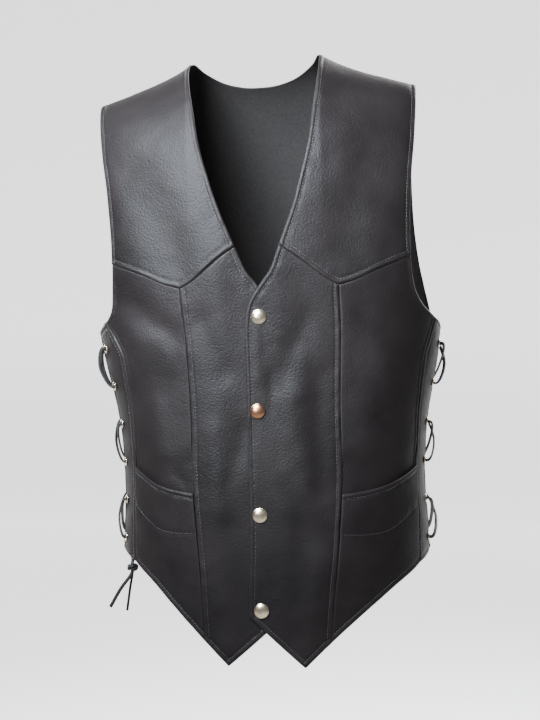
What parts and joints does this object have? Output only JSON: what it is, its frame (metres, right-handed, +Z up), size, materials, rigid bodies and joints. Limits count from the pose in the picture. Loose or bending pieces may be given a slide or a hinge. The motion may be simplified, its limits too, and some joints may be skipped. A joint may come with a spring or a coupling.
{
  "type": "leather vest",
  "caption": "Worn leather biker vest, empty: pointed front yokes, V neck, closed snap front, curved pockets, laced sides.",
  "frame": {"origin": "where the wearer's neck meets the shoulders: the middle of the line between the two neck points of the shoulder ridge", "axes": "+Z up, the front faces -Y, +X is the wearer's left"},
  "size_m": [0.3989, 0.2464, 0.6764],
  "materials": {
    "leather": "satin",
    "back_leather": "satin",
    "nickel": "polished",
    "lace": "matte"
  },
  "bodies": {
    "root": {"back": "back_leather", "eyelet_back_left_1": "nickel", "eyelet_back_left_2": "nickel", "eyelet_back_left_3": "nickel", "eyelet_back_left_4": "nickel", "eyelet_back_left_5": "nickel", "eyelet_back_left_6": "nickel", "eyelet_back_right_1": "nickel", "eyelet_back_right_2": "nickel", "eyelet_back_right_3": "nickel", "eyelet_back_right_4": "nickel", "eyelet_back_right_5": "nickel", "eyelet_back_right_6": "nickel", "eyelet_front_left_1": "nickel", "eyelet_front_left_2": "nickel", "eyelet_front_left_3": "nickel", "eyelet_front_left_4": "nickel", "eyelet_front_left_5": "nickel", "eyelet_front_left_6": "nickel", "eyelet_front_right_1": "nickel", "eyelet_front_right_2": "nickel", "eyelet_front_right_3": "nickel", "eyelet_front_right_4": "nickel", "eyelet_front_right_5": "nickel", "eyelet_front_right_6": "nickel", "front_centre_left": "leather", "front_centre_right": "leather", "front_side_left": "leather", "front_side_right": "leather", "lace_knot_left": "lace", "lace_knot_right": "lace", "lace_left": "lace", "lace_right": "lace", "pocket_front_left": "leather", "pocket_front_right": "leather", "snap_cap_1": "nickel", "snap_cap_2": "nickel", "snap_cap_3": "nickel", "snap_cap_4": "nickel", "snap_stud_1": "nickel", "snap_stud_2": "nickel", "snap_stud_3": "nickel", "snap_stud_4": "nickel", "strip_back_left": "back_leather", "strip_back_right": "back_leather", "strip_front_left": "leather", "strip_front_right": "leather", "yoke_left": "leather", "yoke_right": "leather"}
  },
  "joints": []
}
